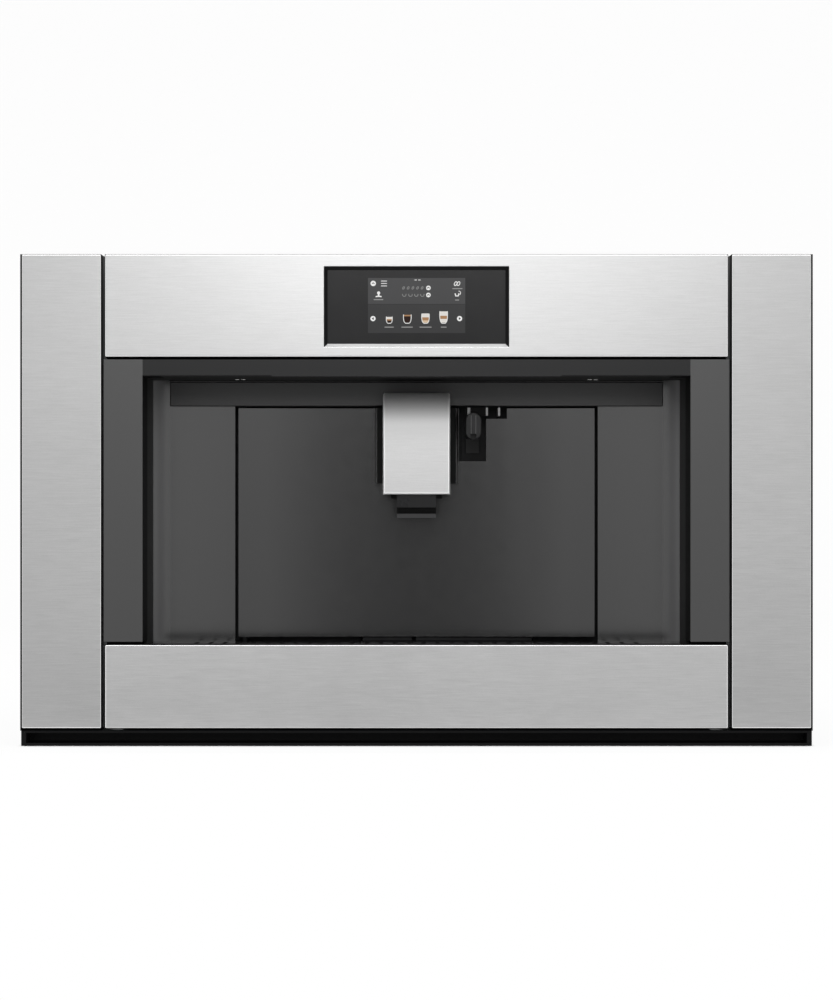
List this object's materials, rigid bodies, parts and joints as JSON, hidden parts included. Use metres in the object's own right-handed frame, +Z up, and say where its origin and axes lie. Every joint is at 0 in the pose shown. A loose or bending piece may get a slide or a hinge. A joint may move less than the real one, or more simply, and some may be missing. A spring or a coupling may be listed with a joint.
{
  "type": "built-in coffee machine",
  "caption": "Built-in automatic coffee machine: steel fascia and side trims round a dark open cavity with a height-adjustable spout on a hinged service door, on pull-out runners.",
  "frame": {"origin": "on the niche floor, at the middle of the bounding box in X and Y", "axes": "+X to the right seen from the front, -Y towards the user, +Z up"},
  "size_m": [0.7588, 0.475, 0.4714],
  "materials": {
    "stainless": "brushed",
    "cavity_grey": "satin",
    "black_steel": "satin",
    "gloss_black": "gloss",
    "matt_black": "fine texture",
    "display_glass": "polished",
    "display_module": "satin",
    "lamp_lens": "clear",
    "zinc_steel": "zinc plated",
    "clear_plastic": "clear",
    "grey_plastic": "matt",
    "cast_aluminium": "cast",
    "boiler_steel": "drawn",
    "circuit_board": "lacquered"
  },
  "bodies": {
    "surround": {"left_trim_panel": "stainless", "right_trim_panel": "stainless", "left_trim_backing": "black_steel", "right_trim_backing": "black_steel", "vent_strip": "black_steel", "base_frame": "zinc_steel", "left_runner_outer": "zinc_steel", "right_runner_outer": "zinc_steel", "base_screws": "zinc_steel"},
    "machine": {"bean_hopper": "matt_black", "bottom_panel": "stainless", "brew_frame": "matt_black", "bulkhead": "matt_black", "cavity_back_panel": "cavity_grey", "cavity_ceiling": "cavity_grey", "cavity_frame": "cavity_grey", "cavity_lamps": "lamp_lens", "chassis_base": "zinc_steel", "coffee_boiler": "boiler_steel", "cup_tray": "cavity_grey", "display_bezel": "gloss_black", "display_glass": "display_glass", "display_module": "display_module", "door_hinge_brackets": "black_steel", "drip_tray": "matt_black", "equipment_shelf": "zinc_steel", "fan_frame": "matt_black", "fascia_panel": "stainless", "front_carrier": "black_steel", "grinder_body": "cast_aluminium", "grounds_container": "matt_black", "header_cover": "cavity_grey", "hot_water_nozzle": "gloss_black", "left_cavity_wall": "cavity_grey", "left_runner_inner": "zinc_steel", "left_side_panel": "zinc_steel", "power_board": "circuit_board", "power_inlet": "matt_black", "rear_panel": "zinc_steel", "right_cavity_wall": "cavity_grey", "right_runner_inner": "zinc_steel", "right_side_panel": "zinc_steel", "steam_boiler": "boiler_steel", "top_cover": "zinc_steel", "water_pump": "grey_plastic", "water_tank": "clear_plastic"},
    "left_runner_middle": {"left_runner_middle": "zinc_steel"},
    "right_runner_middle": {"right_runner_middle": "zinc_steel"},
    "service_door": {"service_door": "cavity_grey", "door_liner": "matt_black", "spout_guide": "gloss_black"},
    "spout": {"spout_body": "gloss_black", "spout_cover": "stainless"},
    "hot_water_spout": {"hot_water_spout": "gloss_black"},
    "hopper_lid": {"hopper_lid": "matt_black"},
    "ground_coffee_lid": {"ground_coffee_lid": "matt_black"},
    "grind_knob": {"grind_knob": "matt_black"},
    "power_switch": {"power_switch": "matt_black"},
    "fan_impeller": {"fan_impeller": "matt_black"},
    "brew_chamber": {"brew_chamber": "grey_plastic"}
  },
  "joints": [
    {"name": "machine_slide", "type": "slide", "parent": "surround", "child": "machine", "axis": [0, -1, 0], "range_m": [0, 0.3]},
    {"name": "left_runner_slide", "type": "slide", "parent": "surround", "child": "left_runner_middle", "axis": [0, -1, 0], "range_m": [0, 0.15]},
    {"name": "right_runner_slide", "type": "slide", "parent": "surround", "child": "right_runner_middle", "axis": [0, -1, 0], "range_m": [0, 0.15]},
    {"name": "door_hinge", "type": "hinge", "parent": "machine", "child": "service_door", "pos_m": [-0.172, -0.1245, 0.2135], "axis": [0, 0, -1], "range_deg": [0, 95]},
    {"name": "spout_height", "type": "slide", "parent": "service_door", "child": "spout", "axis": [0, 0, -1], "range_m": [0, 0.045]},
    {"name": "hot_water_pull", "type": "slide", "parent": "machine", "child": "hot_water_spout", "axis": [0, -1, 0], "range_m": [0, 0.018]},
    {"name": "hopper_lid_hinge", "type": "hinge", "parent": "machine", "child": "hopper_lid", "pos_m": [0.01, 0.1485, 0.4674], "axis": [-1, 0, 0], "range_deg": [0, 100]},
    {"name": "ground_coffee_lid_hinge", "type": "hinge", "parent": "machine", "child": "ground_coffee_lid", "pos_m": [0, -0.0115, 0.4674], "axis": [-1, 0, 0], "range_deg": [0, 95]},
    {"name": "grind_knob_turn", "type": "hinge", "parent": "machine", "child": "grind_knob", "pos_m": [0.062, -0.038, 0.465], "axis": [0, 0, -1], "range_deg": [0, 270]},
    {"name": "power_switch_rock", "type": "hinge", "parent": "machine", "child": "power_switch", "pos_m": [-0.174, 0.2303, 0.06], "axis": [1, 0, 0], "range_deg": [0, 16]},
    {"name": "fan_spin", "type": "hinge", "parent": "machine", "child": "fan_impeller", "pos_m": [0.18, 0.22, 0.39], "axis": [0, 1, 0], "continuous": true},
    {"name": "brew_lift", "type": "slide", "parent": "machine", "child": "brew_chamber", "axis": [0, 0, 1], "range_m": [0, 0.045]}
  ],
  "couplings": [
    {"joint": "left_runner_slide", "follows": "machine_slide", "ratio": 0.5},
    {"joint": "right_runner_slide", "follows": "machine_slide", "ratio": 0.5}
  ]
}
